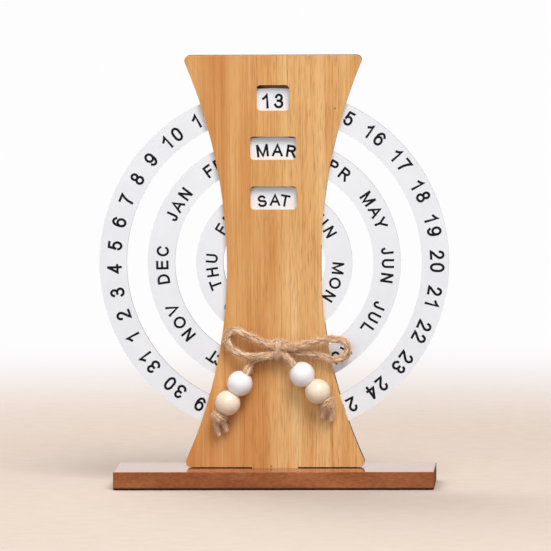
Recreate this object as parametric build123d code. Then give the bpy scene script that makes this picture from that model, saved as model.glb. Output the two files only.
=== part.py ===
from build123d import *
import math
import os

# Perpetual desk calendar, in millimetres. X runs to the right, Y to the back and Z up.
# The origin is the middle of the base board's underside. Two waisted plates stand in a
# slot of the base. Three rings turn between them, round spacers that keep the plates apart.

# Base board
base_width = 176.5
base_depth = 55.0
base_height = 10.0
base_edge_chamfer = 0.4
slot_floor = 4.0  # wood left under the slot

# Rings, from the middle outwards: days, months, dates
day_ring_bore = 28.1  # radius of the innermost hole
ring_band = 15.0  # width of each ring, from its inner to its outer edge
ring_gap = 11.7  # from one ring's outer edge to the next ring's inner edge
ring_thickness = 3.0
ring_side_clearance = 0.2  # from a ring's face to the plate beside it
ring_bore_clearance = 0.4  # from a ring's inner edge to the spacer that it turns on
ring_rim_clearance = 1.5  # from a ring's outer edge to the spacer outside it
ring_floor_clearance = 17.0  # from the base board up to the date ring

# Upright: the outline of both plates and of the spacers between them
plate_thickness = 3.0
top_margin = 18.1  # from the date ring up to the plates' top edge
waist_drop = 1.5  # the narrowest place lies this far below the rings' centre
waist_half_width = 25.9
foot_half_width = 51.0  # at the bottom corners, before they are rounded
foot_spread = 0.8  # the bottom corners reach this much further out than the top ones
plate_corner_radius = 2.8
tab_width = 25.3
shoulder_gap = 0.5  # the tabs stand on the slot's floor, with this much under the shoulders

# Windows in the front plate; a rise is measured from the middle of the ring's band
date_window_width = 18.0
date_window_height = 14.2
date_window_rise = 2.2
word_window_width = 25.6
word_window_height = 12.9
month_window_rise = 1.15
day_window_rise = 0.35
window_corner_radius = 2.0

# Bow of jute twine, glued to the front plate
twine_diameter = 4.0
bow_x = 1.9
bow_height = 66.0  # of the knot's middle, above the base board
knot_width = 9.6
knot_depth = 8.2
knot_height = 9.6
knot_rounding = 3.0
wrap_width = 4.8  # the turn of twine round the knot
wrap_proud = 0.9  # how far it stands out from the rest of the knot
glue_radius = 2.6
glue_thickness = 0.5
twine_bite = 0.8  # how far the twine's ends sink into a knot

# Beads, two on each tail of the bow
bead_diameter = 14.0
bead_length = 12.5  # between the flat ends
bead_hole_clearance = 0.3  # from the twine to the hole's wall
bead_spacing = 0.2  # between two beads, and between a bead and the end knot
bead_plate_clearance = 0.15
end_knot_length = 5.0
end_knot_diameter = 7.6
end_knot_rounding = 2.2
fray_root_radius = 1.7
fray_tip_radius = 1.2

# The twine's routes: (right of the knot's middle, out from the plate, above the knot's middle)
left_loop_route = [
    (-4.0, 6.1, 2.4),
    (-7.9, 6.0, 4.6),
    (-16.0, 5.4, 7.6),
    (-24.8, 4.2, 12.0),
    (-29.1, 3.2, 6.0),
    (-25.6, 4.6, 0.5),
    (-18.4, 7.4, -3.6),
    (-10.4, 7.6, -3.7),
    (-4.0, 6.8, -3.0),
]
right_loop_route = [
    (4.0, 6.8, 1.4),
    (8.9, 6.8, 1.5),
    (15.5, 6.6, 3.4),
    (24.3, 6.0, 5.1),
    (33.4, 5.2, 6.4),
    (39.6, 4.8, 3.0),
    (38.3, 4.9, -4.2),
    (30.4, 4.6, -6.1),
    (22.8, 3.6, -2.9),
    (13.1, 2.8, -1.5),
    (4.0, 2.4, -1.0),
]
left_tail_route = [(-4.0, 2.4, -2.7), (-8.6, 2.3, -3.8), (-15.1, 3.8, -6.7)]
right_tail_route = [(3.3, 5.9, -3.0)]

# Where each tail's first bead sits, and the way that the tail runs down through its beads
left_bead = (-20.7, -18.4)
left_tail_heading = (-0.529, -0.849)
right_bead = (13.6, -13.5)
right_tail_heading = (0.674, -0.739)
tail_lead = 7.4  # the tail runs straight for this far above the middle of its first bead
left_fray_tips = [(-34.1, 2.4, -48.0), (-28.4, 2.6, -45.4)]
right_fray_tips = [(25.6, 2.4, -38.1), (31.2, 3.2, -36.9)]

# Sizes that follow from those above
day_ring_outer = day_ring_bore + ring_band
month_ring_inner = day_ring_outer + ring_gap
month_ring_outer = month_ring_inner + ring_band
date_ring_inner = month_ring_outer + ring_gap
date_ring_outer = date_ring_inner + ring_band
ring_centre_z = base_height + ring_floor_clearance + date_ring_outer
waist_z = ring_centre_z - waist_drop
top_z = ring_centre_z + date_ring_outer + top_margin
top_half_width = foot_half_width - foot_spread
shoulder_z = base_height + shoulder_gap
slot_depth = base_height - slot_floor
spacer_thickness = ring_thickness + 2 * ring_side_clearance
upright_depth = spacer_thickness + 2 * plate_thickness
front_face_y = -upright_depth / 2
bow_z = base_height + bow_height
bead_radius = bead_diameter / 2
bead_standoff = bead_radius + bead_plate_clearance


def slab(sketch, back_y, thickness):
    """A sketch in X and Z, as a plate that reaches forward from back_y."""
    return extrude(Plane.XZ.offset(-back_y) * sketch, amount=thickness)


def waisted_outline():
    """The upright's outline above the base board, with rounded corners."""
    waist = (waist_half_width, waist_z)
    top_corner = (top_half_width, top_z)
    foot_corner = (foot_half_width, shoulder_z)
    right_side = Curve() + TangentArc(waist, top_corner, tangent=(0, 1))
    right_side += TangentArc(waist, foot_corner, tangent=(0, -1))
    edges = right_side + mirror(right_side, Plane.YZ)
    edges += Line((-top_half_width, top_z), top_corner)
    edges += Line((-foot_half_width, shoulder_z), foot_corner)
    outline = make_face(edges)
    rows = outline.vertices().group_by(Axis.Y)
    return fillet(rows[0] + rows[-1], plate_corner_radius)


def tab():
    """The tab under a plate or spacer, down to the floor of the slot."""
    overlap = plate_corner_radius
    height = shoulder_z + overlap - slot_floor
    middle_z = slot_floor + height / 2
    return Pos(0, middle_z) * Rectangle(tab_width, height)


def window(band_middle, rise, width, height):
    middle_z = ring_centre_z + band_middle + rise
    return Pos(0, middle_z) * RectangleRounded(width, height, window_corner_radius)


def front_plate():
    half_band = ring_band / 2
    plate = waisted_outline() + tab()
    plate -= window(date_ring_inner + half_band, date_window_rise, date_window_width, date_window_height)
    plate -= window(month_ring_inner + half_band, month_window_rise, word_window_width, word_window_height)
    plate -= window(day_ring_bore + half_band, day_window_rise, word_window_width, word_window_height)
    return slab(plate, -spacer_thickness / 2, plate_thickness)


def back_plate():
    return slab(waisted_outline() + tab(), upright_depth / 2, plate_thickness)


def disc(radius):
    return Pos(0, ring_centre_z) * Circle(radius)


def spacer(sketch):
    return slab(sketch, spacer_thickness / 2, spacer_thickness)


def half_of_upright(above):
    """The part of the outline above or below the rings' centre."""
    height = top_z
    middle_z = ring_centre_z + height / 2 if above else ring_centre_z - height / 2
    return waisted_outline() & (Pos(0, middle_z) * Rectangle(2 * date_ring_outer, height))


def arc_spacer(inside_ring_outer, outside_ring_inner, above):
    """The spacer between two rings, which the outer of the two turns on."""
    band = disc(outside_ring_inner - ring_bore_clearance) - disc(inside_ring_outer + ring_rim_clearance)
    return spacer(half_of_upright(above) & band)


def top_spacer():
    return spacer(half_of_upright(True) - disc(date_ring_outer + ring_rim_clearance))


def bottom_spacer():
    block = half_of_upright(False) - disc(date_ring_outer + ring_rim_clearance)
    return spacer(block + tab())


def hub_spacer():
    return spacer(waisted_outline() & disc(day_ring_bore - ring_bore_clearance))


def ring(inner):
    return slab(disc(inner + ring_band) - disc(inner), ring_thickness / 2, ring_thickness)


def base_board():
    on_table = (Align.CENTER, Align.CENTER, Align.MIN)
    board = Box(base_width, base_depth, base_height, align=on_table)
    board = chamfer(board.edges(), base_edge_chamfer)
    slot = Box(tab_width, upright_depth, slot_depth, align=on_table)
    return board - Pos(0, 0, slot_floor) * slot


def at_bow(x, standoff, z):
    """A point of the bow, from its place beside the knot and its distance from the plate."""
    return Vector(bow_x + x, front_face_y - standoff, bow_z + z)


def twine(name, route):
    """A tube of twine along straight runs joined by arcs as large as the runs allow."""
    points = [at_bow(*point) for point in route]
    runs = [after - before for before, after in zip(points, points[1:])]
    radii = []
    for before, after in zip(runs, runs[1:]):
        half_turn = math.radians(before.get_angle(after)) / 2
        radii.append(0.45 * min(before.length, after.length) / math.tan(half_turn))
    path = FilletPolyline(*points, radius=radii)
    section = Plane(origin=path @ 0, z_dir=path % 0) * Circle(twine_diameter / 2)
    tube = sweep(section, path=path)
    share = tube.volume / (path.length * math.pi * twine_diameter**2 / 4)
    shown = ", ".join(f"{radius:.1f}" for radius in radii)
    print(f"{name}: length {path.length:.1f}, radii {shown}, volume share {share:.4f}")
    return tube


def rounded_block(width, depth, height, rounding):
    block = Box(width, depth, height)
    return fillet(block.edges(), min(rounding, 0.45 * min(width, depth, height)))


def bow_knot():
    """The knot as a rounded block with one turn of twine round it, flat where it is glued."""
    wrap_depth = knot_depth + 2 * wrap_proud
    wrap_height = knot_height + 2 * wrap_proud
    core = rounded_block(knot_width, knot_depth, knot_height, knot_rounding)
    wrap = rounded_block(wrap_width, wrap_depth, wrap_height, twine_diameter / 2)
    middle = at_bow(0, glue_thickness + knot_depth / 2, 0)
    glued_side = Box(2 * knot_width, 2 * glue_thickness, 2 * wrap_height)
    return Pos(middle) * (core + wrap) - Pos(at_bow(0, 0, 0)) * glued_side


def glue_dot():
    plane = Plane(origin=at_bow(0, 0, 0), z_dir=(0, -1, 0))
    return extrude(plane * Circle(glue_radius), amount=glue_thickness)


class Tail:
    """The straight end of the twine, with two beads and an end knot on it."""

    def __init__(self, first_bead, heading):
        self.start = at_bow(first_bead[0], bead_standoff, first_bead[1])
        self.heading = Vector(heading[0], 0, heading[1]).normalized()
        self.first = (first_bead[0], bead_standoff, first_bead[1])
        self.knot_at = 1.5 * bead_length + 2 * bead_spacing

    def along(self, distance):
        return self.start + self.heading * distance

    def route_point(self, distance):
        x, standoff, z = self.first
        return (x + self.heading.X * distance, standoff, z + self.heading.Z * distance)

    def route(self, lead):
        """The lead from the knot, then straight through the beads into the end knot."""
        return lead + [self.route_point(-tail_lead), self.route_point(self.knot_at + twine_bite)]

    def bead(self, number):
        plane = Plane(origin=self.along(number * (bead_length + bead_spacing)), z_dir=self.heading)
        ball = Sphere(bead_radius) & Cylinder(bead_radius, bead_length)
        hole = Cylinder(twine_diameter / 2 + bead_hole_clearance, bead_length)
        return plane * (ball - hole)

    def end_knot(self, tips):
        """A lump of knotted twine, with two frayed strands that hang from it."""
        middle = self.along(self.knot_at + end_knot_length / 2)
        lump = Cylinder(end_knot_diameter / 2, end_knot_length)
        rounding = min(end_knot_rounding, 0.45 * end_knot_length)
        knot = Plane(origin=middle, z_dir=self.heading) * fillet(lump.edges(), rounding)
        from_root = (Align.CENTER, Align.CENTER, Align.MIN)
        for tip in tips:
            strand = at_bow(*tip) - middle
            cone = Cone(fray_root_radius, fray_tip_radius, strand.length, align=from_root)
            knot += Plane(origin=middle, z_dir=strand) * cone
        return knot


left_tail = Tail(left_bead, left_tail_heading)
right_tail = Tail(right_bead, right_tail_heading)

parts = {
    "base_board": base_board(),
    "front_panel": front_plate(),
    "back_panel": back_plate(),
    "top_spacer": top_spacer(),
    "upper_outer_spacer": arc_spacer(month_ring_outer, date_ring_inner, True),
    "upper_inner_spacer": arc_spacer(day_ring_outer, month_ring_inner, True),
    "hub_spacer": hub_spacer(),
    "lower_inner_spacer": arc_spacer(day_ring_outer, month_ring_inner, False),
    "lower_outer_spacer": arc_spacer(month_ring_outer, date_ring_inner, False),
    "bottom_spacer": bottom_spacer(),
    "date_ring": ring(date_ring_inner),
    "month_ring": ring(month_ring_inner),
    "day_ring": ring(day_ring_bore),
    "bow_glue_dot": glue_dot(),
    "bow_knot": bow_knot(),
    "bow_loop_left": twine("bow_loop_left", left_loop_route),
    "bow_loop_right": twine("bow_loop_right", right_loop_route),
    "bow_tail_left": twine("bow_tail_left", left_tail.route(left_tail_route)),
    "bow_tail_right": twine("bow_tail_right", right_tail.route(right_tail_route)),
    "bead_white_left": left_tail.bead(0),
    "bead_natural_left": left_tail.bead(1),
    "bead_white_right": right_tail.bead(0),
    "bead_natural_right": right_tail.bead(1),
    "tail_knot_left": left_tail.end_knot(left_fray_tips),
    "tail_knot_right": right_tail.end_knot(right_fray_tips),
}

os.makedirs("parts", exist_ok=True)
for name, solid in parts.items():
    export_step(solid, f"parts/{name}.step")
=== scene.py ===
"""Perpetual desk calendar: three printed rings turn between two waisted bamboo plates that
stand in a stained base, with a bow of jute twine and four wooden beads on the front plate.

The part's sizes are in millimetres, as in its source, and MM turns them into the frame's metres.
Textures, fibres, lights and the floor are in metres. X runs to the right, Y to the back and Z up.
"""

import math

import bpy
from mathutils import Matrix, Vector


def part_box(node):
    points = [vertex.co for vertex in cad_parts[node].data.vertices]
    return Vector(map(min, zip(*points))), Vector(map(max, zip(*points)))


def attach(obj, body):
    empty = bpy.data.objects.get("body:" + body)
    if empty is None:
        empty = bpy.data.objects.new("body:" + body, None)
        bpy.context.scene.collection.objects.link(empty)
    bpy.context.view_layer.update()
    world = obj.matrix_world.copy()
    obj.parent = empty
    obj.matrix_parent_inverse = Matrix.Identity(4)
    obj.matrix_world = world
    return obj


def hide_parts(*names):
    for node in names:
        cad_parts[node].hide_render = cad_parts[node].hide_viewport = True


MM = 0.001

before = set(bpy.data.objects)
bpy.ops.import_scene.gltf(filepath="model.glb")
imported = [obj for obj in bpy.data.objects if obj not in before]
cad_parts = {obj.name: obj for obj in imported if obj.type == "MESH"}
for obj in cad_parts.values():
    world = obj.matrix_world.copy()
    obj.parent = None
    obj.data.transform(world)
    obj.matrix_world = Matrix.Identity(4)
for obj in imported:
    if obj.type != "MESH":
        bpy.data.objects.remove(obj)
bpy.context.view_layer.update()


def node_low(name):
    """The lowest corner of a CAD node's box, in millimetres."""
    return [round(value / MM, 3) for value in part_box(name)[0]]


def node_middle(name):
    """The middle of a CAD node's box, in millimetres."""
    low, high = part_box(name)
    return [round((a + b) / 2 / MM, 3) for a, b in zip(low, high)]


# Rings, and the lettering printed on them
RING_CENTRE_Z = node_middle("date_ring")[2]
RING_FACE_Y = node_low("date_ring")[1]
PRINT_PROUD = 0.06
PRINT_SUNK = 0.02
# The print's centre on each ring, right of and above the ring's own
PRINT_CENTRES = {"date_ring": (0.9, 0.2), "month_ring": (0.5, 0.0), "day_ring": (0.5, -0.15)}

# Where the upright stands on the base, which bounds the painted shade in the gap under its shoulders
UPRIGHT_HALF_WIDTH = 45.5
UPRIGHT_HALF_DEPTH = 4.6

# Bow, round the middle of its knot
FRONT_FACE_Y = node_low("front_panel")[1]
BOW_X, _, BOW_Z = node_middle("bow_knot")
BEAD_STANDOFF = 7.15
BEAD_LENGTH = 12.5
BEAD_SPACING = 0.2
TAIL_LEAD = 7.4
LEAD_STOP = 5.4
TWINE_BITE = 0.8
END_KNOT_LENGTH = 5.0
# The coil that makes an end knot, with its angles in degrees
COIL_RADIUS = 2.75
COIL_LENGTH = 2.4
COIL_STEPS = 7
COIL_START = -60
COIL_STEP_ANGLE = 78
# Seeds that give each run of twine its own fibres
LOOP_SEED = 3
TAIL_SEED = 5
STRAND_SEED = 10
COIL_SEED = 20
PLY_SEED = 31

PORE_BROWN = "#7C4719"
# Near-black painted shade, for edges that look straight down and for the gap under the upright
PAINTED_SHADE_BLACK = "#2A170C"
# Pin knots in the front plate's face: (x, z)
PIN_KNOTS = [(34.1, 208.9), (-2.0, 10.9)]
# A face has its cut edges' colour where the depth in its normal is less than this
EDGES_ONLY = 0.5
# ALL_OVER gives every face of a part that colour: it paints the top spacer dark as shade
ALL_OVER = 2.0


# ---------------------------------------------------------------------------------------
# Nodes and colours
# ---------------------------------------------------------------------------------------


def linear(hex_colour):
    """An sRGB hex colour as the linear RGBA that a node's socket takes."""
    levels = [int(hex_colour[i : i + 2], 16) / 255 for i in (1, 3, 5)]
    return [v / 12.92 if v <= 0.04045 else ((v + 0.055) / 1.055) ** 2.4 for v in levels] + [1.0]


def per_metre(size):
    """A pattern's scale: how many features of a size in millimetres lie in a metre."""
    return 1 / (size * MM)


def plug(tree, node, sockets):
    """Sets a node's sockets. Each takes a value, a link from another node's socket, or a link
    from another node, which is from its first output in use."""
    for key, value in sockets.items():
        if isinstance(value, bpy.types.Node):
            value = next(socket for socket in value.outputs if socket.enabled)
        if isinstance(value, bpy.types.NodeSocket):
            tree.links.new(value, node.inputs[key])
        else:
            node.inputs[key].default_value = value


def add(tree, kind, sockets=None, stops=None, **settings):
    """Adds a node with its settings, its sockets' values or links, and a ramp's stops. A mix has
    its factor at socket 0, and its two numbers at 2 and 3 or its two colours at 6 and 7."""
    made = tree.nodes.new(kind)
    for name, value in settings.items():
        setattr(made, name, value)
    plug(tree, made, sockets or {})
    if stops:
        elements = made.color_ramp.elements
        while len(elements) < len(stops):
            elements.new(1.0)
        for element, (place, hex_colour) in zip(elements, stops):
            element.position = place
            element.color = linear(hex_colour)
    return made


def new_finish(name, constants):
    """A material: its tree, its shader with constant values set, and the coordinates of the
    piece that it's on."""
    finish = bpy.data.materials.new(name)
    finish.use_nodes = True
    tree = finish.node_tree
    shader = tree.nodes["Principled BSDF"]
    plug(tree, shader, constants)
    return finish, tree, shader, add(tree, "ShaderNodeTexCoord").outputs


def surface(tree, shader, colour, roughness=None, bump=None):
    """Gives a shader its colour, its roughness as (texture, lowest, highest) and its bump as
    (texture, strength, distance)."""
    plug(tree, shader, {"Base Color": colour})
    if roughness:
        texture, lowest, highest = roughness
        level = add(tree, "ShaderNodeMapRange", {"Value": texture, "To Min": lowest, "To Max": highest})
        plug(tree, shader, {"Roughness": level})
    if bump:
        texture, strength, distance = bump
        relief = add(
            tree, "ShaderNodeBump", {"Height": texture, "Strength": strength, "Distance": distance}
        )
        plug(tree, shader, {"Normal": relief})


def dress(names, finish):
    """Gives CAD nodes their material."""
    for name in names:
        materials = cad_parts[name].data.materials
        materials.clear()
        materials.append(finish)


def new_object(name, data):
    """An object in the scene with a mesh, a lamp or a camera."""
    made = bpy.data.objects.new(name, data)
    bpy.context.scene.collection.objects.link(made)
    return made


# ---------------------------------------------------------------------------------------
# Materials
# ---------------------------------------------------------------------------------------


def bamboo_plywood(name, edge_hex, gloss, cut_below):
    """Bamboo plywood, left raw: matt, with straight grain in soft bands and fine dark pores
    that follow it. Its cut edges are pale where sanded and brown where a laser scorched them;
    edges that look straight down are near-black as painted shade."""
    finish, tree, shader, coordinates = new_finish(name, {"IOR": 1.45, "Specular IOR Level": gloss})
    place = coordinates["Object"]
    # Bands about 8 mm wide run the whole height, with streaks of 1 to 2 mm inside them
    stretch = add(tree, "ShaderNodeMapping", {"Vector": place, "Scale": (1.0, 0.5, 0.03)})
    bands = add(
        tree,
        "ShaderNodeTexNoise",
        {"Vector": stretch, "Scale": per_metre(8.33), "Detail": 2.0, "Roughness": 0.5},
    )
    streaks = add(
        tree,
        "ShaderNodeTexNoise",
        {"Vector": stretch, "Scale": per_metre(1.56), "Detail": 4.0, "Roughness": 0.75},
    )
    level = add(tree, "ShaderNodeMix", {0: 0.36, 2: bands, 3: streaks})
    grain = add(
        tree,
        "ShaderNodeValToRGB",
        {"Fac": level},
        stops=[(0.32, "#D2985A"), (0.46, "#E1AC6D"), (0.56, "#E8B87A"), (0.70, "#F0C88F")],
    )
    # The plate is warmer on its left and paler on its right, with warmer patches as long as a
    # finger
    axes = add(tree, "ShaderNodeSeparateXYZ", {"Vector": place})
    rightness = add(
        tree,
        "ShaderNodeMapRange",
        {"Value": axes.outputs["X"], "From Min": -0.034, "From Max": 0.022},
        interpolation_type="SMOOTHSTEP",
    )
    patch_place = add(tree, "ShaderNodeMapping", {"Vector": place, "Scale": (1.0, 0.5, 0.12)})
    patches = add(
        tree, "ShaderNodeTexNoise", {"Vector": patch_place, "Scale": per_metre(11.1), "Detail": 2.0}
    )
    patchiness = add(
        tree,
        "ShaderNodeMapRange",
        {"Value": patches, "From Min": 0.3, "From Max": 0.7, "To Min": -0.45, "To Max": 0.45},
    )
    paleness = add(tree, "ShaderNodeMath", {0: rightness, 1: patchiness}, use_clamp=True)
    warmth = add(
        tree, "ShaderNodeMix", {0: paleness, 6: linear("#ECD6C1"), 7: linear("#FFFFFF")}, data_type="RGBA"
    )
    toned = add(
        tree, "ShaderNodeMix", {0: 1.0, 6: grain, 7: warmth}, data_type="RGBA", blend_type="MULTIPLY"
    )
    # Thin reddish lines a few centimetres long
    line_scale = [per_metre(size) for size in (0.667, 2.0, 90.9)]
    line_place = add(tree, "ShaderNodeMapping", {"Vector": place, "Scale": line_scale})
    line_noise = add(tree, "ShaderNodeTexNoise", {"Vector": line_place, "Scale": 1.0, "Detail": 1.0})
    lines = add(
        tree,
        "ShaderNodeMapRange",
        {"Value": line_noise, "From Min": 0.56, "From Max": 0.78, "To Max": 0.55},
    )
    lined = add(tree, "ShaderNodeMix", {0: lines, 6: toned, 7: linear("#B06A30")}, data_type="RGBA")
    # Pores: fine dashes 8 mm long, denser on the paler right side
    dash_scale = [per_metre(size) for size in (0.2083, 2.0, 8.33)]
    dash_place = add(tree, "ShaderNodeMapping", {"Vector": place, "Scale": dash_scale})
    dashes = add(tree, "ShaderNodeTexNoise", {"Vector": dash_place, "Scale": 1.0, "Detail": 0.0})
    pores = add(
        tree, "ShaderNodeMapRange", {"Value": dashes, "From Min": 0.58, "From Max": 0.78, "To Max": 0.5}
    )
    density = add(tree, "ShaderNodeMapRange", {"Value": rightness, "To Min": 0.35, "To Max": 1.0})
    pore_strength = add(tree, "ShaderNodeMath", {0: pores, 1: density}, operation="MULTIPLY")
    face = add(tree, "ShaderNodeMix", {0: pore_strength, 6: lined, 7: linear(PORE_BROWN)}, data_type="RGBA")
    # Pin knots: dark specks less than a millimetre wide
    for knot_x, knot_z in PIN_KNOTS:
        centre = (knot_x * MM, FRONT_FACE_Y * MM, knot_z * MM)
        off = add(tree, "ShaderNodeVectorMath", {0: place, 1: centre}, operation="DISTANCE")
        speck = add(
            tree,
            "ShaderNodeMapRange",
            {"Value": off, "From Min": 0.0008, "From Max": 0.0003, "To Max": 0.7},
        )
        face = add(tree, "ShaderNodeMix", {0: speck, 6: face, 7: linear(PORE_BROWN)}, data_type="RGBA")
    # A face that doesn't look to the front or the back was cut by the laser
    facing = add(tree, "ShaderNodeSeparateXYZ", {"Vector": coordinates["Normal"]})
    across = add(tree, "ShaderNodeMath", {0: facing.outputs["Y"]}, operation="ABSOLUTE")
    cut = add(tree, "ShaderNodeMath", {0: across, 1: cut_below}, operation="LESS_THAN")
    # Painted shade: the edges that look straight down, such as the tops of the windows and the plate's
    # foot, are near-black
    under = add(tree, "ShaderNodeMath", {0: facing.outputs["Z"], 1: -0.9}, operation="LESS_THAN")
    edge = add(
        tree, "ShaderNodeMix", {0: under, 6: linear(edge_hex), 7: linear(PAINTED_SHADE_BLACK)}, data_type="RGBA"
    )
    colour = add(tree, "ShaderNodeMix", {0: cut, 6: face, 7: edge}, data_type="RGBA")
    height = add(tree, "ShaderNodeMath", {0: streaks, 1: pore_strength}, operation="SUBTRACT")
    surface(tree, shader, colour, (streaks, 0.48, 0.62), (height, 0.25, 0.0002))
    return finish


def stained_board():
    """Fine board stained reddish brown: soft cloudy colour and no open grain. The varnish on
    its top mirrors what stands on it at a low angle; the sawn edges drank it and stay dull."""
    finish, tree, shader, coordinates = new_finish(
        "stained and varnished board",
        {"Roughness": 0.6, "Specular IOR Level": 0.0, "Coat Roughness": 0.1, "Coat IOR": 1.5},
    )
    place = coordinates["Object"]
    stretch = add(tree, "ShaderNodeMapping", {"Vector": place, "Scale": (0.35, 1.0, 1.0)})
    clouds = add(
        tree,
        "ShaderNodeTexNoise",
        {"Vector": stretch, "Scale": per_metre(10.5), "Detail": 3.0, "Roughness": 0.5},
    )
    fibres = add(
        tree, "ShaderNodeTexNoise", {"Vector": stretch, "Scale": per_metre(0.909), "Detail": 2.0}
    )
    level = add(tree, "ShaderNodeMix", {0: 0.45, 2: clouds, 3: fibres})
    stain = add(
        tree,
        "ShaderNodeValToRGB",
        {"Fac": level},
        stops=[(0.36, "#88502F"), (0.50, "#9B5C39"), (0.64, "#AE6C46")],
    )
    # Painted contact shadow: a dark line along the bottom edge, where the board meets the floor
    axes = add(tree, "ShaderNodeSeparateXYZ", {"Vector": place})
    rise = add(
        tree, "ShaderNodeMapRange", {"Value": axes.outputs["Z"], "From Min": 0.0008, "From Max": 0.0017}
    )
    contact_shaded = add(tree, "ShaderNodeMix", {0: rise, 6: linear("#301A0C"), 7: stain}, data_type="RGBA")
    # Painted shade: where the upright stands, the board's top is near-black and has no coat, so that the
    # narrow gap under the shoulders looks dark
    shaded_gap_sides = []
    for axis, half in (("X", UPRIGHT_HALF_WIDTH), ("Y", UPRIGHT_HALF_DEPTH)):
        off = add(tree, "ShaderNodeMath", {0: axes.outputs[axis]}, operation="ABSOLUTE")
        shaded_gap_sides.append(add(tree, "ShaderNodeMath", {0: off, 1: half * MM}, operation="LESS_THAN"))
    shaded_gap = add(tree, "ShaderNodeMath", {0: shaded_gap_sides[0], 1: shaded_gap_sides[1]}, operation="MULTIPLY")
    colour = add(tree, "ShaderNodeMix", {0: shaded_gap, 6: contact_shaded, 7: linear(PAINTED_SHADE_BLACK)}, data_type="RGBA")
    facing = add(tree, "ShaderNodeSeparateXYZ", {"Vector": coordinates["Normal"]})
    varnish = add(
        tree,
        "ShaderNodeMapRange",
        {"Value": facing.outputs["Z"], "From Min": 0.6, "From Max": 0.8, "To Min": 0.04},
    )
    coat = add(tree, "ShaderNodeMath", {0: varnish, 1: shaded_gap}, operation="SUBTRACT", use_clamp=True)
    bump = add(tree, "ShaderNodeBump", {"Height": clouds, "Strength": 0.08, "Distance": 0.0004})
    plug(tree, shader, {"Base Color": colour, "Coat Weight": coat, "Coat Normal": bump})
    return finish


def white_board():
    """Ring board with a white lacquered face: cool, even and softly satin, with cut edges
    that show a little of the brown core."""
    finish, tree, shader, coordinates = new_finish(
        "white lacquered board", {"IOR": 1.46, "Specular IOR Level": 0.4}
    )
    place = coordinates["Object"]
    mottle = add(tree, "ShaderNodeTexNoise", {"Vector": place, "Scale": per_metre(16.7), "Detail": 3.0})
    lacquer = add(tree, "ShaderNodeValToRGB", {"Fac": mottle}, stops=[(0.35, "#E8ECF2"), (0.65, "#ECF0F5")])
    facing = add(tree, "ShaderNodeSeparateXYZ", {"Vector": coordinates["Normal"]})
    across = add(tree, "ShaderNodeMath", {0: facing.outputs["Y"]}, operation="ABSOLUTE")
    cut = add(tree, "ShaderNodeMath", {0: across, 1: EDGES_ONLY}, operation="LESS_THAN")
    colour = add(tree, "ShaderNodeMix", {0: cut, 6: lacquer, 7: linear("#A08C7C")}, data_type="RGBA")
    orange_peel = add(
        tree, "ShaderNodeTexNoise", {"Vector": place, "Scale": per_metre(1.11), "Detail": 2.0}
    )
    surface(tree, shader, colour, (mottle, 0.38, 0.5), (orange_peel, 0.05, 0.0002))
    return finish


def printing_ink():
    """Black screen ink: nearly flat and matt, a little worn where it lies thin."""
    finish, tree, shader, coordinates = new_finish(
        "black screen ink", {"IOR": 1.5, "Specular IOR Level": 0.15}
    )
    wear = add(
        tree,
        "ShaderNodeTexNoise",
        {"Vector": coordinates["Object"], "Scale": per_metre(0.667), "Detail": 2.0},
    )
    colour = add(tree, "ShaderNodeValToRGB", {"Fac": wear}, stops=[(0.4, "#060508"), (0.75, "#121115")])
    surface(tree, shader, colour, (wear, 0.45, 0.65))
    return finish


def bead_wood(name, hex_colours, coat, grain_width):
    """A turned wooden bead: the lathe leaves it round and smooth under its coat, with a trace
    of grain that the paint or varnish doesn't quite hide."""
    finish, tree, shader, coordinates = new_finish(
        name, {"IOR": 1.5, "Coat Weight": coat, "Coat Roughness": 0.25}
    )
    stretch = add(tree, "ShaderNodeMapping", {"Vector": coordinates["Object"], "Scale": (1.0, 1.0, 0.25)})
    grain = add(
        tree,
        "ShaderNodeTexNoise",
        {"Vector": stretch, "Scale": per_metre(grain_width), "Detail": 4.0, "Distortion": 0.4},
    )
    colour = add(
        tree, "ShaderNodeValToRGB", {"Fac": grain}, stops=list(zip((0.32, 0.5, 0.68), hex_colours))
    )
    surface(tree, shader, colour, (grain, 0.35, 0.5), (grain, 0.08, 0.0003))
    return finish


def jute():
    """Jute twine: dry, matt bast fibres of mixed straw and brown, so each yarn has its own
    tone and small flecks run along it."""
    finish, tree, shader, coordinates = new_finish(
        "jute yarn", {"Roughness": 0.88, "IOR": 1.5, "Specular IOR Level": 0.2}
    )
    tone = add(tree, "ShaderNodeAttribute", attribute_name="yarn_tone")
    flecks = add(
        tree,
        "ShaderNodeTexNoise",
        {"Vector": coordinates["Object"], "Scale": per_metre(0.714), "Detail": 3.0},
    )
    level = add(tree, "ShaderNodeMix", {0: 0.4, 2: tone.outputs["Fac"], 3: flecks})
    colour = add(
        tree,
        "ShaderNodeValToRGB",
        {"Fac": level},
        stops=[(0.22, "#B3835A"), (0.42, "#DAAE84"), (0.58, "#ECC7A1"), (0.76, "#F9E2C8")],
    )
    surface(tree, shader, colour, bump=(flecks, 0.3, 0.0002))
    return finish


def hot_glue():
    """A drop of clear hot-melt glue: milky and waxy, not glass clear."""
    finish, tree, shader, coordinates = new_finish(
        "clear hot-melt glue", {"Roughness": 0.3, "IOR": 1.48, "Transmission Weight": 0.6}
    )
    haze = add(tree, "ShaderNodeTexNoise", {"Vector": coordinates["Object"], "Scale": per_metre(2.0)})
    colour = add(tree, "ShaderNodeValToRGB", {"Fac": haze}, stops=[(0.3, "#E9DFC8"), (0.7, "#F6F0E2")])
    surface(tree, shader, colour)
    return finish


sanded_bamboo = bamboo_plywood("sanded bamboo plywood", "#E0B684", 0.25, EDGES_ONLY)
cut_bamboo = bamboo_plywood("laser-cut bamboo plywood", "#3A2415", 0.0, EDGES_ONLY)
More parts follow.
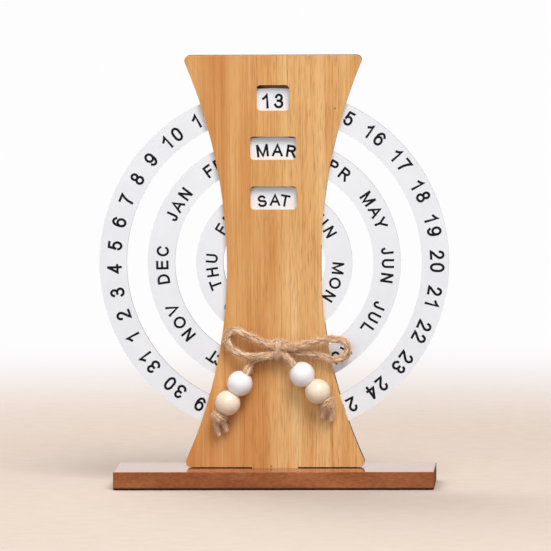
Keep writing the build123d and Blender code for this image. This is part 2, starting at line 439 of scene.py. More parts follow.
# Painted shade: the top spacer is near-black all over, where it shows in shadow at the top of the date
# window
shade_painted_bamboo = bamboo_plywood("shade-painted bamboo plywood", "#24140B", 0.0, ALL_OVER)
stain = stained_board()
lacquer = white_board()
ink = printing_ink()
white_paint = bead_wood("white painted beech", ("#F4F3F7", "#F6F5F9", "#F8F8FA"), 0.4, 3.85)
bare_beech = bead_wood("varnished beech", ("#F1DCC2", "#F5E3CB", "#F8E9D5"), 0.4, 2.38)
twine_jute = jute()

dress(["front_panel"], sanded_bamboo)
dress(
    ["back_panel", "hub_spacer", "bottom_spacer"]
    + [f"{half}_{place}_spacer" for half in ("upper", "lower") for place in ("outer", "inner")],
    cut_bamboo,
)
# Painted shade on the top spacer
dress(["top_spacer"], shade_painted_bamboo)
dress(["base_board"], stain)
dress(["date_ring", "month_ring", "day_ring"], lacquer)
dress(["bead_white_left", "bead_white_right"], white_paint)
dress(["bead_natural_left", "bead_natural_right"], bare_beech)
dress(["bow_glue_dot"], hot_glue())


# ---------------------------------------------------------------------------------------
# Lettering
# ---------------------------------------------------------------------------------------

# Each character is (advance, cell width, strokes) with its height as 1. A stroke is a list of
# (x, y) points and (centre x, centre y, radius x, radius y, start, end) arcs, in degrees.
CHARACTERS = {
    "0": (1, 0.6, [[(0.3, 0.62, 0.3, 0.38, 0, 180), (0.3, 0.38, 0.3, 0.38, 180, 360), (0.6, 0.62)]]),
    "1": (1, 0.6, [[(0.06, 0.72), (0.24, 0.82), (0.395, 1), (0.395, 0)]]),
    "2": (1, 0.6, [[(0.31, 0.72, 0.27, 0.28, 175, -35), (0.3, 0.32), (0.09, 0.13), (0, 0), (0.6, 0)]]),
    "3": (1, 0.6, [
        [(0.29, 0.76, 0.25, 0.24, 165, -90), (0.2, 0.52)],
        [(0.2, 0.52), (0.28, 0.26, 0.31, 0.26, 90, -165)],
    ]),
    "4": (1, 0.6, [[(0.45, 0), (0.45, 1)], [(0.43, 0.98), (0, 0.27), (0.62, 0.27)]]),
    "5": (1, 0.6, [[(0.54, 1), (0.12, 1), (0.03, 0.47)], [(0.28, 0.32, 0.3, 0.32, 140, -160)]]),
    "6": (1, 0.6, [[(0.3, 0.32, 0.3, 0.32, 0, 360)], [(0.32, 0.55, 0.32, 0.45, 38, 180), (0, 0.34)]]),
    "7": (1, 0.6, [[(0, 1), (0.6, 1), (0.42, 0.74), (0.28, 0.42), (0.21, 0)]]),
    "8": (1, 0.6, [[(0.3, 0.76, 0.24, 0.24, 0, 360)], [(0.3, 0.26, 0.3, 0.26, 0, 360)]]),
    "9": (1, 0.6, [[(0.3, 0.68, 0.3, 0.32, 0, 360)], [(0.28, 0.45, 0.32, 0.45, 218, 360), (0.6, 0.66)]]),
    "A": (1.09, 0.84, [[(0, 0), (0.42, 1), (0.84, 0)], [(0.15, 0.32), (0.69, 0.32)]]),
    "B": (1.09, 0.66, [
        [(0.4, 0.54), (0, 0.54), (0, 1), (0.36, 0.77, 0.25, 0.23, 90, -90)],
        [(0, 0.54), (0, 0), (0.39, 0.27, 0.27, 0.27, -90, 90)],
    ]),
    "C": (1.18, 0.82, [[(0.42, 0.5, 0.42, 0.5, 38, 322)]]),
    "D": (1.18, 0.74, [[(0, 0), (0, 1), (0.3, 1), (0.3, 0.5, 0.44, 0.5, 80, -80), (0.3, 0), (0, 0)]]),
    "E": (1.09, 0.62, [[(0.62, 1), (0, 1), (0, 0), (0.64, 0)], [(0, 0.53), (0.58, 0.53)]]),
    "F": (1.0, 0.58, [[(0.6, 1), (0, 1), (0, 0)], [(0, 0.51), (0.5, 0.51)]]),
    "G": (1.28, 0.85, [[(0.43, 0.5, 0.43, 0.5, 42, 295), (0.85, 0.16), (0.85, 0.47), (0.45, 0.47)]]),
    "H": (1.18, 0.68, [[(0, 0), (0, 1)], [(0.68, 0), (0.68, 1)], [(0, 0.53), (0.68, 0.53)]]),
    "I": (0.5, 0.0, [[(0, 0), (0, 1)]]),
    "J": (0.85, 0.44, [[(0.44, 1), (0.22, 0.26, 0.22, 0.26, 0, -175)]]),
    "L": (0.91, 0.54, [[(0, 1), (0, 0), (0.54, 0)]]),
    "M": (1.36, 0.94, [[(0, 0), (0, 1)], [(0.03, 1), (0.47, 0), (0.91, 1)], [(0.94, 1), (0.94, 0)]]),
    "N": (1.18, 0.68, [[(0, 0), (0, 1)], [(0.03, 1), (0.65, 0)], [(0.68, 0), (0.68, 1)]]),
    "O": (1.28, 0.93, [[(0.465, 0.5, 0.465, 0.5, 0, 360)]]),
    "P": (1.09, 0.66, [[(0, 0), (0, 1), (0.36, 0.75, 0.3, 0.25, 90, -90), (0, 0.5)]]),
    "R": (1.18, 0.74, [
        [(0, 0), (0, 1), (0.4, 0.76, 0.27, 0.24, 90, -90), (0, 0.52)],
        [(0.38, 0.52), (0.74, 0)],
    ]),
    "S": (1.09, 0.66, [
        [(0.33, 0.76, 0.29, 0.24, 15, 240), (0.45, 0.47), (0.33, 0.26, 0.33, 0.26, 55, -170)],
    ]),
    "T": (1.0, 0.74, [[(0, 1), (0.74, 1)], [(0.37, 1), (0.37, 0)]]),
    "U": (1.18, 0.66, [[(0, 1), (0.33, 0.33, 0.33, 0.33, 180, 360), (0.66, 1)]]),
    "V": (1.09, 0.8, [[(0, 1), (0.4, 0), (0.8, 1)]]),
    "W": (1.55, 1.22, [[(0, 1), (0.31, 0), (0.61, 1), (0.91, 0), (1.22, 1)]]),
    "Y": (1.09, 0.8, [[(0, 1), (0.4, 0.43), (0.8, 1)], [(0.4, 0.43), (0.4, 0)]]),
}
KERNING = {"AT": 0.25, "AY": 0.1, "CT": 0.5, "FE": 0.12}
ARC_STEP = 15.0
MITRE_LIMIT = 1.9
SAME_POINT = 0.01  # points closer than this are one
LAYER_RISE = 0.01


def stroke_points(stroke):
    """A stroke's corner points, with its arcs cut into short steps, and whether it closes."""
    points = []
    for item in stroke:
        if len(item) == 2:
            points.append(Vector(item))
            continue
        centre_x, centre_y, radius_x, radius_y, start, end = item
        steps = max(2, round(abs(end - start) / ARC_STEP))
        for step in range(steps + 1):
            angle = math.radians(start + (end - start) * step / steps)
            points.append(
                Vector((centre_x + radius_x * math.cos(angle), centre_y + radius_y * math.sin(angle)))
            )
    kept = [points[0]]
    for point in points[1:]:
        if (point - kept[-1]).length > SAME_POINT:
            kept.append(point)
    closed = (kept[0] - kept[-1]).length < SAME_POINT
    return (kept[:-1] if closed else kept), closed


def stroke_sides(points, closed, width):
    """The left and right edge of a stroke of even width, mitred at its corners."""
    sides = []
    count = len(points)
    for i, point in enumerate(points):
        into = (point - points[i - 1]).normalized() if closed or i > 0 else None
        out = (points[(i + 1) % count] - point).normalized() if closed or i < count - 1 else into
        into = out if into is None else into
        along = (into + out).normalized()
        across = Vector((-along.y, along.x))
        stretch = min(MITRE_LIMIT, 1 / max(0.1, across.dot(Vector((-into.y, into.x)))))
        reach = across * (width / 2 * stretch)
        sides.append((point + reach, point - reach))
    return sides


def print_character(vertices, faces, character, centre, middle, height, ink_width, widening):
    """Adds one character to a mesh: middle is its (radius, angle) round the print's centre, in
    mm and degrees, and its top points away from that centre."""
    radius, angle = middle
    turn = math.radians(angle)
    outward = Vector((math.cos(turn), math.sin(turn)))
    rightward = Vector((math.sin(turn), -math.cos(turn)))
    size = height - ink_width
    cell = CHARACTERS[character][1]
    for layer, stroke in enumerate(CHARACTERS[character][2]):
        points, closed = stroke_points(stroke)
        placed = [Vector(((p.x - cell / 2) * size * widening, (p.y - 0.5) * size)) for p in points]
        if not closed:
            # Square ends, so that stems reach the full height of the letters
            for end, inner in ((0, 1), (-1, -2)):
                placed[end] = placed[end] + (placed[end] - placed[inner]).normalized() * ink_width / 2
        # Each stroke lies a hair above the one before, as wet ink on dry
        front = RING_FACE_Y - PRINT_PROUD - LAYER_RISE * layer
        back = RING_FACE_Y + PRINT_SUNK
        sections = []
        for left, right in stroke_sides(placed, closed, ink_width):
            section = []
            for side, depth in ((left, front), (right, front), (right, back), (left, back)):
                spot = outward * (radius + side.y) + rightward * side.x
                section.append(len(vertices))
                place = (spot.x + centre[0], depth, spot.y + RING_CENTRE_Z + centre[1])
                vertices.append(tuple(v * MM for v in place))
            sections.append(section)
        pairs = list(zip(sections, sections[1:]))
        if closed:
            pairs.append((sections[-1], sections[0]))
        else:
            faces.append(sections[0])
            faces.append(sections[-1][::-1])
        for near, far in pairs:
            for i in range(4):
                j = (i + 1) % 4
                faces.append((near[i], far[i], far[j], near[j]))


def print_words(name, body, words, radius, height, ink_width, spacing, widening):
    """Prints words round a ring: words is a list of (text, angle of its middle in degrees).
    Spacing is added to each advance, as a share of the letters' size."""
    vertices, faces = [], []
    size = height - ink_width
    for text, angle in words:
        advances = [(CHARACTERS[c][0] + spacing) * size for c in text]
        for i, pair in enumerate(zip(text, text[1:])):
            advances[i] -= KERNING.get("".join(pair), 0) * size
        offset = -sum(advances) / 2
        for character, advance in zip(text, advances):
            own_half = (CHARACTERS[character][0] + spacing) * size / 2
            middle = (radius, angle - math.degrees((offset + own_half) / radius))
            print_character(
                vertices, faces, character, PRINT_CENTRES[body], middle, height, ink_width, widening
            )
            offset += advance
    mesh = bpy.data.meshes.new(name)
    mesh.from_pydata(vertices, [], faces)
    mesh.materials.append(ink)
    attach(new_object(name, mesh), body)


MONTHS = [
    ("MAR", 88.9), ("FEB", 118.9), ("JAN", 148.6), ("DEC", 181.1), ("NOV", 212.2), ("OCT", 242.3),
    ("SEP", 272.7), ("AUG", 302.2), ("JUL", 330.8), ("JUN", 358.6), ("MAY", 27.8), ("APR", 58.4),
]
DAYS = [
    ("SAT", 91.2), ("SUN", 41.5), ("MON", -18.0), ("TUE", -71.0), ("WED", -122.5),
    ("THU", -172.5), ("FRI", 137.8),
]
DATE_RADIUS = 89.2
DATE_HEIGHT = 8.15
DATE_INK = 1.34
DATE_DIGIT_ANGLE = 4.53
DATE_GAP_ANGLE = 3.87
SHOWN_DATE = 13
SHOWN_DATE_ANGLE = 90.8


def dates():
    """The numbers 1 to 31 clockwise, spaced by an even gap, so that 1 follows 31."""
    widths = [len(str(number)) * DATE_DIGIT_ANGLE for number in range(1, 32)]
    middles = []
    place = 0.0
    for width in widths:
        middles.append(place - width / 2)
        place -= width + DATE_GAP_ANGLE
    shift = SHOWN_DATE_ANGLE - middles[SHOWN_DATE - 1]
    return [(str(i + 1), middle + shift) for i, middle in enumerate(middles)]


digit_size = DATE_HEIGHT - DATE_INK
digit_spacing = math.radians(DATE_DIGIT_ANGLE) * DATE_RADIUS / digit_size - 1
# Each ring's lettering: radius, height, ink width, letter spacing and widening
for name, body, words, *sizes in (
    ("date_numbers", "date_ring", dates(), DATE_RADIUS, DATE_HEIGHT, DATE_INK, digit_spacing, 0.92),
    ("month_names", "month_ring", MONTHS, 62.3, 6.9, 1.25, 0.24, 1.0),
    ("day_names", "day_ring", DAYS, 34.9, 6.55, 1.16, 0.24, 1.03),
):
    print_words(name, body, words, *sizes)


# ---------------------------------------------------------------------------------------
# Twine
# ---------------------------------------------------------------------------------------

# Routes as (x, standoff, z) from the middle of the knot's back
LEFT_LOOP = [
    (-4.0, 6.1, 2.4), (-7.9, 6.0, 4.6), (-16.0, 5.4, 7.6), (-24.8, 4.2, 12.0), (-29.1, 3.2, 6.0),
    (-25.6, 4.6, 0.5), (-18.4, 7.4, -3.6), (-10.4, 7.6, -3.7), (-4.0, 6.8, -3.0),
]
RIGHT_LOOP = [
    (4.0, 6.8, 1.4), (8.9, 6.8, 1.5), (15.5, 6.6, 3.4), (24.3, 6.0, 5.1), (33.4, 5.2, 6.4),
    (39.6, 4.8, 3.0), (38.3, 4.9, -4.2), (30.4, 4.6, -6.1), (22.8, 3.6, -2.9), (13.1, 2.8, -1.5),
    (4.0, 2.4, -1.0),
]
# Each side: the tail's lead out of the knot, its first bead, its heading, and the bend and
# the tip of each ply that hangs loose below the end knot
TAILS = {
    "left": (
        [(-4.0, 2.4, -2.7), (-8.6, 2.3, -3.8), (-15.1, 3.8, -6.7)],
        (-20.7, -18.4),
        (-0.529, -0.849),
        [((-35.6, 3.4, -39.6), (-32.4, 2.8, -47.8)), ((-30.0, 3.8, -38.6), (-28.2, 3.0, -45.2))],
    ),
    "right": (
        [(2.4, 5.9, -1.7), (6.8, 6.6, -4.9)],
        (13.6, -13.5),
        (0.674, -0.739),
        [((26.4, 3.4, -32.6), (24.2, 2.8, -38.2)), ((30.9, 3.8, -33.0), (29.4, 3.0, -39.4))],
    ),
}
# The knot: strands that carry the loops through it, a turn over its front, and an arch on top
KNOT_STRANDS = [
    [(-5.4, 6.2, 3.1), (-1.8, 5.6, 1.7), (1.8, 5.6, 1.1), (5.2, 6.7, 1.5)],
    [(-5.2, 6.9, -3.0), (-1.6, 5.6, -2.4), (1.5, 5.6, -1.4), (3.4, 6.1, -2.4)],
    [(-5.2, 2.5, -2.9), (0.0, 3.0, -1.2), (5.2, 2.5, -1.1)],
    [(-5.2, 4.0, 1.6), (-2.6, 4.2, 3.5), (1.0, 4.4, 4.3), (4.4, 4.4, 3.3), (7.0, 4.0, 1.2)],
    [(1.2, 2.4, 2.9), (1.0, 5.0, 4.4), (0.8, 8.3, 3.7), (0.2, 8.7, 0.2), (-0.3, 8.3, -3.2),
     (-0.5, 5.0, -3.9), (-0.5, 2.4, -2.8)],
]


def at_bow(x, standoff, z):
    """A point of the bow, in metres, from its place beside the knot and off the plate."""
    return Vector((BOW_X + x, FRONT_FACE_Y - standoff, BOW_Z + z)) * MM


class Tail:
    """The straight end of the twine, which runs through two beads into an end knot."""

    def __init__(self, first_bead, heading):
        self.first = Vector((first_bead[0], BEAD_STANDOFF, first_bead[1]))
        self.heading = Vector((heading[0], 0, heading[1])).normalized()
        # From the middle of the first bead to just past the second one
        self.knot_at = 1.5 * BEAD_LENGTH + 2 * BEAD_SPACING

    def point(self, distance):
        """A point on the tail's line, from the middle of its first bead."""
        return tuple(self.first + self.heading * distance)

    def coil(self, middle):
        """The turns of twine that make the end knot, round the tail's line."""
        side = Vector((self.heading.z, 0, -self.heading.x))
        points = []
        for step in range(COIL_STEPS + 1):
            turn = math.radians(COIL_START + COIL_STEP_ANGLE * step)
            off = side * math.cos(turn) + Vector((0, 1, 0)) * math.sin(turn)
            distance = middle + COIL_LENGTH * (step / COIL_STEPS - 0.5)
            points.append(tuple(self.first + self.heading * distance + off * COIL_RADIUS))
        return points


def spline_points(points):
    """The points of a smooth NURBS line that has the route's points as its control points."""
    curve = bpy.data.curves.new("route", "CURVE")
    curve.dimensions = "3D"
    curve.resolution_u = 16
    spline = curve.splines.new("NURBS")
    spline.points.add(len(points) - 1)
    for control, place in zip(spline.points, points):
        control.co = (*place, 1.0)
    spline.order_u = 3
    spline.use_endpoint_u = True
    carrier = bpy.data.objects.new("route", curve)
    mesh = bpy.data.meshes.new_from_object(carrier)
    line = [vertex.co.copy() for vertex in mesh.vertices]
    bpy.data.objects.remove(carrier)
    bpy.data.curves.remove(curve)
    bpy.data.meshes.remove(mesh)
    return line


def new_tree(name, sizes):
    """A geometry tree that takes a line, a seed, a finish and its own sizes by name, and those
    inputs as sockets."""
    tree = bpy.data.node_groups.new(name, "GeometryNodeTree")
    tree.interface.new_socket("Line", in_out="INPUT", socket_type="NodeSocketGeometry")
    tree.interface.new_socket("Finish", in_out="INPUT", socket_type="NodeSocketMaterial")
    tree.interface.new_socket("Result", in_out="OUTPUT", socket_type="NodeSocketGeometry")
    for label, default in {"Seed": 1, **sizes}.items():
        kind = "NodeSocketInt" if isinstance(default, int) else "NodeSocketFloat"
        socket = tree.interface.new_socket(label, in_out="INPUT", socket_type=kind)
        socket.default_value = default
    return tree, add(tree, "NodeGroupInput").outputs


def copied_line(tree, size, amount):
    """Copies of a tree's line, cut into even steps."""
    line = add(tree, "GeometryNodeMeshToCurve", {"Mesh": size["Line"]})
    even = add(tree, "GeometryNodeResampleCurve", {"Curve": line, "Length": size["Step"]}, mode="LENGTH")
    return add(tree, "GeometryNodeDuplicateElements", {"Geometry": even, "Amount": amount}, domain="SPLINE")


def sweep(tree, curves, tone, sides, radius):
    """Makes solid strands of curves, with a tone, a number of sides and a radius."""
    toned = add(
        tree,
        "GeometryNodeStoreNamedAttribute",
        {"Geometry": curves, "Name": "yarn_tone", "Value": tone},
        data_type="FLOAT",
        domain="POINT",
    )
    section = add(
        tree, "GeometryNodeCurvePrimitiveCircle", {"Resolution": sides, "Radius": 1.0}, mode="RADIUS"
    )
    return add(
        tree,
        "GeometryNodeCurveToMesh",
        {"Curve": toned, "Profile Curve": section, "Scale": radius, "Fill Caps": True},
    )


def end_tree(tree, size, geometry):
    """Ends a tree with real, smooth geometry of its finish."""
    whole = add(tree, "GeometryNodeRealizeInstances", {"Geometry": geometry})
    smooth = add(tree, "GeometryNodeSetShadeSmooth", {"Geometry": whole})
    finished = add(tree, "GeometryNodeSetMaterial", {"Geometry": smooth, "Material": size["Finish"]})
    add(tree, "NodeGroupOutput", {0: finished})


def vector_sum(tree, parts):
    """Adds up (vector, scale) products."""
    total = None
    for vector, scale in parts:
        scaled = add(tree, "ShaderNodeVectorMath", {0: vector, "Scale": scale}, operation="SCALE")
        if total is None:
            total = scaled
        else:
            total = add(tree, "ShaderNodeVectorMath", {0: total, 1: scaled})
    return total


def laid_twine():
    """The tree that lays twine along a line: yarns twist into plies, plies twist the other way
    into twine, and short loose fibres stand off its surface."""
    tree, size = new_tree(
        "laid twine",
        {
            "Step": 0.0005,
            "Plies": 3,
            "Yarns in a Ply": 14,
            "Ply Offset": 0.00092,
            "Ply Lay": 0.024,
            "Yarn Offset": 0.0009,
            "Yarn Lay": 0.02,
            "Yarn Radius": 0.00024,
            "Wander": 0.0011,
            "Swells per Metre": 900.0,
            "Fibres": 9.0e5,
            "Fibre Length": 0.0022,
            "Fibre Radius": 0.000045,
            "Darkest Tone": 0.0,
        },
    )
    yarn_count = add(
        tree, "ShaderNodeMath", {0: size["Plies"], 1: size["Yarns in a Ply"]}, operation="MULTIPLY"
    )
    copies = copied_line(tree, size, yarn_count)
    index = copies.outputs["Duplicate Index"]
    ply_ratio = add(tree, "ShaderNodeMath", {0: index, 1: size["Yarns in a Ply"]}, operation="DIVIDE")
    ply = add(tree, "ShaderNodeMath", {0: ply_ratio}, operation="FLOOR")
    yarn = add(tree, "ShaderNodeMath", {0: index, 1: size["Yarns in a Ply"]}, operation="MODULO")
    far = add(tree, "GeometryNodeSplineParameter").outputs["Length"]
    normal = add(tree, "GeometryNodeInputNormal")
    tangent = add(tree, "GeometryNodeInputTangent")
    binormal = add(tree, "ShaderNodeVectorMath", {0: tangent, 1: normal}, operation="CROSS_PRODUCT")
    offsets = []
    for turn_index, count, lay, reach, sense in (
        (ply, "Plies", "Ply Lay", "Ply Offset", math.tau),
        (yarn, "Yarns in a Ply", "Yarn Lay", "Yarn Offset", -math.tau),
    ):
        share = add(tree, "ShaderNodeMath", {0: turn_index, 1: size[count]}, operation="DIVIDE")
        turns = add(tree, "ShaderNodeMath", {0: far, 1: size[lay]}, operation="DIVIDE")
        whole = add(tree, "ShaderNodeMath", {0: share, 1: turns})
        angle = add(tree, "ShaderNodeMath", {0: whole, 1: sense}, operation="MULTIPLY")
        for function, direction in (("COSINE", normal), ("SINE", binormal)):
            wave = add(tree, "ShaderNodeMath", {0: angle}, operation=function)
            scaled = add(tree, "ShaderNodeMath", {0: wave, 1: size[reach]}, operation="MULTIPLY")
            offsets.append((direction, scaled))
    laid = add(tree, "GeometryNodeSetPosition", {"Geometry": copies, "Offset": vector_sum(tree, offsets)})
    # Uneven yarns: they swell and wander a little about every millimetre, each in its own way
    where = add(tree, "GeometryNodeInputPosition")
    unevenness = add(
        tree, "ShaderNodeTexNoise", {"Vector": where, "Scale": size["Swells per Metre"], "Detail": 1.0}
    )
    centred = add(tree, "ShaderNodeVectorMath", {0: unevenness.outputs["Color"], 1: (-0.5, -0.5, -0.5)})
    wander = vector_sum(tree, [(centred, size["Wander"])])
    loosened = add(tree, "GeometryNodeSetPosition", {"Geometry": laid, "Offset": wander})
    swell = add(
        tree,
        "ShaderNodeMapRange",
        {"Value": unevenness, "From Min": 0.3, "From Max": 0.7, "To Min": 0.8, "To Max": 1.2},
    )
    thickness = add(tree, "ShaderNodeMath", {0: swell, 1: size["Yarn Radius"]}, operation="MULTIPLY")
    tone = add(
        tree,
        "FunctionNodeRandomValue",
        {2: size["Darkest Tone"], "ID": index, "Seed": size["Seed"]},
        data_type="FLOAT",
    )
    yarns = sweep(tree, loosened, tone, sides=5, radius=thickness)
    # Loose fibres, each a bent hair that leans along and away from the surface
    roots = add(
        tree,
        "GeometryNodeDistributePointsOnFaces",
        {"Mesh": yarns, "Density": size["Fibres"], "Seed": size["Seed"]},
    )
    hair = add(
        tree,
        "GeometryNodeCurveQuadraticBezier",
        {"Resolution": 4, "Start": (0, 0, 0), "Middle": (0.35, 0, 0.35), "End": (1.0, 0, 0.55)},
    )
    spin = add(
        tree,
        "FunctionNodeRandomValue",
        {0: (-1.0, -1.0, 0.0), 1: (1.0, 1.0, math.tau), "Seed": size["Seed"]},
        data_type="FLOAT_VECTOR",
    )
    turned = add(
        tree,
        "FunctionNodeRotateRotation",
        {"Rotation": roots.outputs["Rotation"], "Rotate By": spin},
        rotation_space="LOCAL",
    )
    hair_length = add(
        tree, "FunctionNodeRandomValue", {2: 0.35, 3: 1.0, "Seed": size["Seed"]}, data_type="FLOAT"
    )
    reach = add(tree, "ShaderNodeMath", {0: hair_length, 1: size["Fibre Length"]}, operation="MULTIPLY")
    hairs = add(
        tree,
        "GeometryNodeInstanceOnPoints",
        {"Points": roots, "Instance": hair, "Rotation": turned, "Scale": reach},
    )
    loose = add(tree, "GeometryNodeRealizeInstances", {"Geometry": hairs})
    fuzz = sweep(tree, loose, tone=0.9, sides=3, radius=size["Fibre Radius"])
    both = add(tree, "GeometryNodeJoinGeometry", {0: yarns})
    plug(tree, both, {0: fuzz})
    end_tree(tree, size, both)
    return tree


def frayed_end():
    """The tree for a frayed end: fibres that start together and spread towards their tips."""
    tree, size = new_tree(
        "frayed end",
        {
            "Step": 0.0007,
            "Fibres": 40,
            "Root Spread": 0.0008,
            "Tip Spread": 0.0018,
            "Waviness": 0.0016,
            "Waves per Metre": 240.0,
            "Wave Shuffle": 0.02,
            "Fibre Radius": 0.00012,
            "Tip Radius": 0.00006,
        },
    )
    copies = copied_line(tree, size, size["Fibres"])
    index = copies.outputs["Duplicate Index"]
    along = add(tree, "GeometryNodeSplineParameter")
    spread = add(
        tree,
        "ShaderNodeMapRange",
        {"Value": along, "To Min": size["Root Spread"], "To Max": size["Tip Spread"]},
    )
    direction = add(
        tree,
        "FunctionNodeRandomValue",
        {0: (-1.0, -1.0, -1.0), 1: (1.0, 1.0, 1.0), "ID": index, "Seed": size["Seed"]},
        data_type="FLOAT_VECTOR",
    )
    # Each fibre curls in its own way, by the noise of a place away from its own
    where = add(tree, "GeometryNodeInputPosition")
    shuffled = vector_sum(tree, [(direction, size["Wave Shuffle"])])
    own_place = add(tree, "ShaderNodeVectorMath", {0: where, 1: shuffled})
    curl = add(
        tree, "ShaderNodeTexNoise", {"Vector": own_place, "Scale": size["Waves per Metre"], "Detail": 1.0}
    )
    centred = add(tree, "ShaderNodeVectorMath", {0: curl.outputs["Color"], 1: (-0.5, -0.5, -0.5)})
    curl_size = add(tree, "ShaderNodeMath", {0: along, 1: size["Waviness"]}, operation="MULTIPLY")
    offset = vector_sum(tree, [(direction, spread), (centred, curl_size)])
    spread_out = add(tree, "GeometryNodeSetPosition", {"Geometry": copies, "Offset": offset})
    # Fibres break off at different lengths
    length = add(
        tree,
        "FunctionNodeRandomValue",
        {2: 0.6, 3: 1.0, "ID": index, "Seed": size["Seed"]},
        data_type="FLOAT",
    )
    trimmed = add(tree, "GeometryNodeTrimCurve", {"Curve": spread_out, "End": length}, mode="FACTOR")
    taper = add(
        tree,
        "ShaderNodeMapRange",
        {"Value": along, "To Min": size["Fibre Radius"], "To Max": size["Tip Radius"]},
    )
    # Painted light: the fibres take only the palest tones, which lift them out of the bead's shadow that
    # they hang in
    tone = add(
        tree,
        "FunctionNodeRandomValue",
        {2: 0.8, 3: 1.3, "ID": index, "Seed": size["Seed"]},
        data_type="FLOAT",
    )
    end_tree(tree, size, sweep(tree, trimmed, tone, sides=3, radius=taper))
    return tree


twine_tree = laid_twine()
fray_tree = frayed_end()


def grow(tree, points, settings):
    """Runs a tree along a line of points and returns the plain mesh that it makes."""
    base = bpy.data.meshes.new("line")
    edges = [(i, i + 1) for i in range(len(points) - 1)]
    base.from_pydata(points, edges, [])
    carrier = new_object("line", base)
    modifier = carrier.modifiers.new("grow", "NODES")
    modifier.node_group = tree
    sockets = {item.name: item.identifier for item in tree.interface.items_tree}
    for name, value in {"Finish": twine_jute, **settings}.items():
        modifier[sockets[name]] = value
    depsgraph = bpy.context.evaluated_depsgraph_get()
    mesh = bpy.data.meshes.new_from_object(carrier.evaluated_get(depsgraph))
    bpy.data.objects.remove(carrier)
    bpy.data.meshes.remove(base)
    return mesh


def bow_piece(name, meshes):
    """One piece of the bow from several meshes, which stands for its CAD node."""
    joined = bpy.data.meshes.new(name + "_twine")
    vertices, faces, tones = [], [], []
    for mesh in meshes:
        start = len(vertices)
        vertices.extend(vertex.co[:] for vertex in mesh.vertices)
        faces.extend([start + i for i in polygon.vertices] for polygon in mesh.polygons)
        tones.extend(item.value for item in mesh.attributes["yarn_tone"].data)
        bpy.data.meshes.remove(mesh)
    joined.from_pydata(vertices, [], faces)
    joined.shade_smooth()
    joined.attributes.new("yarn_tone", "FLOAT", "POINT").data.foreach_set("value", tones)
    joined.materials.append(twine_jute)
    piece = new_object(name + "_twine", joined)
    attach(piece, "stand")
    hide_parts(name)
    return piece


def twine_along(route, seed, **sizes):
    """Twine along a route: the spline's points and the mesh."""
    line = spline_points([at_bow(*point) for point in route])
    return line, grow(twine_tree, line, {"Seed": seed, **sizes})


def free_twine(name, route, seed):
    """One free run of the bow's twine."""
    line, mesh = twine_along(route, seed)
    bow_piece(name, [mesh])


free_twine("bow_loop_left", LEFT_LOOP, LOOP_SEED)
free_twine("bow_loop_right", RIGHT_LOOP, LOOP_SEED + 1)

PULLED_TIGHT = {"Ply Offset": 0.0007, "Yarn Offset": 0.0006}
LOOSE_PLY = {
    "Plies": 1,
    "Ply Offset": 0.0,
    "Yarns in a Ply": 12,
    "Yarn Offset": 0.0009,
    "Yarn Lay": 0.011,
    "Wander": 0.0016,
    # Painted light: loose plies take only the paler tones, to lift them in the bead's shadow
    "Darkest Tone": 0.65,
}

# The strand over the knot's front is the last one, and it's the one that is pulled tight
knot_meshes = []
for number, strand in enumerate(KNOT_STRANDS):
    tightness = PULLED_TIGHT if number == len(KNOT_STRANDS) - 1 else {}
    knot_meshes.append(twine_along(strand, STRAND_SEED + number, **tightness)[1])
bow_piece("bow_knot", knot_meshes)

for number, (side, (lead, first_bead, heading, tips)) in enumerate(TAILS.items()):
    tail = Tail(first_bead, heading)
    middle = tail.knot_at + END_KNOT_LENGTH / 2
    meshes = [twine_along(tail.coil(middle), COIL_SEED + number)[1]]
    for tip_number, (bend, tip) in enumerate(tips):
        seed = PLY_SEED + len(tips) * number + tip_number
        line, ply = twine_along([tail.point(middle), bend, tip], seed, **LOOSE_PLY)
        meshes += [ply, grow(fray_tree, line, {"Seed": seed})]
    end_knot = bow_piece(f"tail_knot_{side}", meshes)
    # One more point on the straight stretch keeps the twine in line with the beads' holes
    stops = (-TAIL_LEAD, -TAIL_LEAD + LEAD_STOP, tail.knot_at + TWINE_BITE)
    route = lead + [tail.point(stop) for stop in stops]
    free_twine(f"bow_tail_{side}", route, TAIL_SEED + number)


# ---------------------------------------------------------------------------------------
# Floor, light and camera
# ---------------------------------------------------------------------------------------

ROOM_WHITE = "#FEFDFE"
FADE_START = 0.3
FADE_END = 0.95
FLOOR_HALF_WIDTH = 60.0
LAMP_TARGET = Vector((0, 0, 0.12))


def seen_directly(tree):
    """1 for the rays of the camera, mirrors and glass, 0 for the light that falls on things."""
    rays = add(tree, "ShaderNodeLightPath").outputs
    mirrored = add(
        tree,
        "ShaderNodeMath",
        {0: rays["Is Glossy Ray"], 1: rays["Is Transmission Ray"]},
        operation="MAXIMUM",
    )
    return add(tree, "ShaderNodeMath", {0: rays["Is Camera Ray"], 1: mirrored}, operation="MAXIMUM")


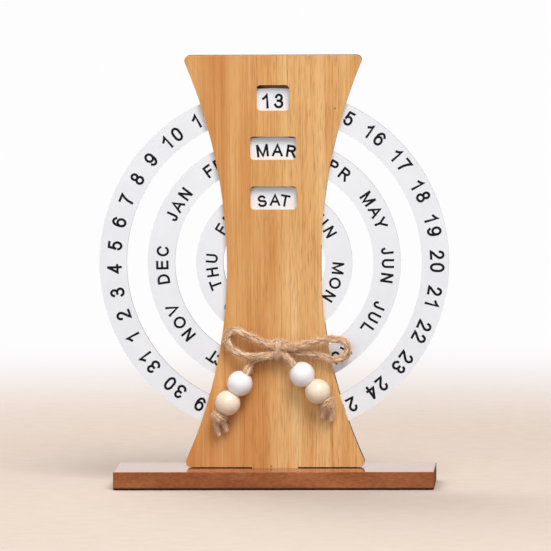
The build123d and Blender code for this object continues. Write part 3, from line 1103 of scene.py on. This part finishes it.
def studio_paper():
    """Matt cream paper, darker to the light that it sends back to the object than it looks.
    A little way behind the object it starts to fade into the white of the room."""
    finish, tree, shader, coordinates = new_finish(
        "matt studio paper", {"Roughness": 0.9, "Specular IOR Level": 0.1}
    )
    place = coordinates["Object"]
    # Its tooth is too fine to show, so it's drawn as soft clouds about 11 mm across
    tooth = add(tree, "ShaderNodeTexNoise", {"Vector": place, "Scale": per_metre(11.1), "Detail": 2.0})
    colour = add(tree, "ShaderNodeValToRGB", {"Fac": tooth}, stops=[(0.3, "#CEBFB2"), (0.7, "#D2C4B8")])
    seen = seen_directly(tree)
    toned = add(tree, "ShaderNodeMix", {0: seen, 6: linear("#A39A93"), 7: colour}, data_type="RGBA")
    distance = add(tree, "ShaderNodeVectorMath", {0: place}, operation="LENGTH")
    away = add(
        tree,
        "ShaderNodeMapRange",
        {"Value": distance, "From Min": FADE_START, "From Max": FADE_END},
        interpolation_type="SMOOTHSTEP",
    )
    share = add(tree, "ShaderNodeMath", {0: seen, 1: away}, operation="MULTIPLY")
    white = add(tree, "ShaderNodeEmission", {"Color": linear(ROOM_WHITE), "Strength": 1.0})
    mixed = add(tree, "ShaderNodeMixShader", {0: share, 1: shader, 2: white})
    surface(tree, shader, toned)
    plug(tree, tree.nodes["Material Output"], {"Surface": mixed})
    return finish


def studio():
    """A wide floor: with no wall, the object can be seen from all round."""
    half = FLOOR_HALF_WIDTH
    mesh = bpy.data.meshes.new("studio_floor")
    mesh.from_pydata(
        [(-half, -half, 0), (half, -half, 0), (half, half, 0), (-half, half, 0)], [], [(0, 1, 2, 3)]
    )
    mesh.materials.append(studio_paper())
    new_object("studio_floor", mesh)


def area_light(name, place, size, watts, hex_colour):
    """A square soft box that points at the middle of the object."""
    lamp = bpy.data.lights.new(name, "AREA")
    lamp.shape = "SQUARE"
    lamp.size = size
    lamp.energy = watts
    lamp.color = linear(hex_colour)[:3]
    holder = new_object(name, lamp)
    holder.location = place
    holder.rotation_euler = (LAMP_TARGET - Vector(place)).to_track_quat("-Z", "Y").to_euler()


def surroundings():
    """Even pale light from all round, as in a bright room, whose walls look white."""
    world = bpy.data.worlds.new("bright room")
    world.use_nodes = True
    tree = world.node_tree
    light = tree.nodes["Background"]
    plug(tree, light, {"Color": linear("#F7F8FF"), "Strength": 0.30})
    white = add(tree, "ShaderNodeBackground", {"Color": linear(ROOM_WHITE), "Strength": 1.0})
    mixed = add(tree, "ShaderNodeMixShader", {0: seen_directly(tree), 1: light, 2: white})
    plug(tree, tree.nodes["World Output"], {"Surface": mixed})
    bpy.context.scene.world = world


CAMERA_DISTANCE = 5.0
CAMERA_AZIMUTH = 2.7
CAMERA_ELEVATION = 4.5
CAMERA_ROLL = -0.33
CAMERA_TARGET = Vector((0.66, 0.0, 116.3)) * MM
PIXELS = 551
PIXEL_SIZE = 0.552  # at the object
PICTURE_WIDTH = PIXELS * PIXEL_SIZE * MM
SENSOR = 36.0


def camera():
    """A long lens from just right of the front and a little above."""
    azimuth = math.radians(CAMERA_AZIMUTH)
    elevation = math.radians(CAMERA_ELEVATION)
    back = Vector(
        (
            math.sin(azimuth) * math.cos(elevation),
            -math.cos(azimuth) * math.cos(elevation),
            math.sin(elevation),
        )
    )
    view = bpy.data.cameras.new("camera")
    view.sensor_width = SENSOR
    view.lens = SENSOR * CAMERA_DISTANCE / PICTURE_WIDTH
    view.clip_end = 50.0
    holder = new_object("camera", view)
    holder.location = CAMERA_TARGET + back * CAMERA_DISTANCE
    roll = Matrix.Rotation(math.radians(CAMERA_ROLL), 3, "Z")
    holder.rotation_euler = (back.to_track_quat("Z", "Y").to_matrix() @ roll).to_euler()
    bpy.context.scene.camera = holder


studio()
surroundings()
area_light("key", (0.72, -1.95, 2.62), size=1.5, watts=86.0, hex_colour="#FFFCF8")
area_light("fill", (-0.8, -2.3, 1.0), size=1.4, watts=14.5, hex_colour="#F5F8FF")
area_light("back", (-1.0, 1.9, 2.6), size=2.0, watts=62.0, hex_colour="#FFFCF8")
camera()

bpy.context.scene.view_settings.view_transform = "Standard"
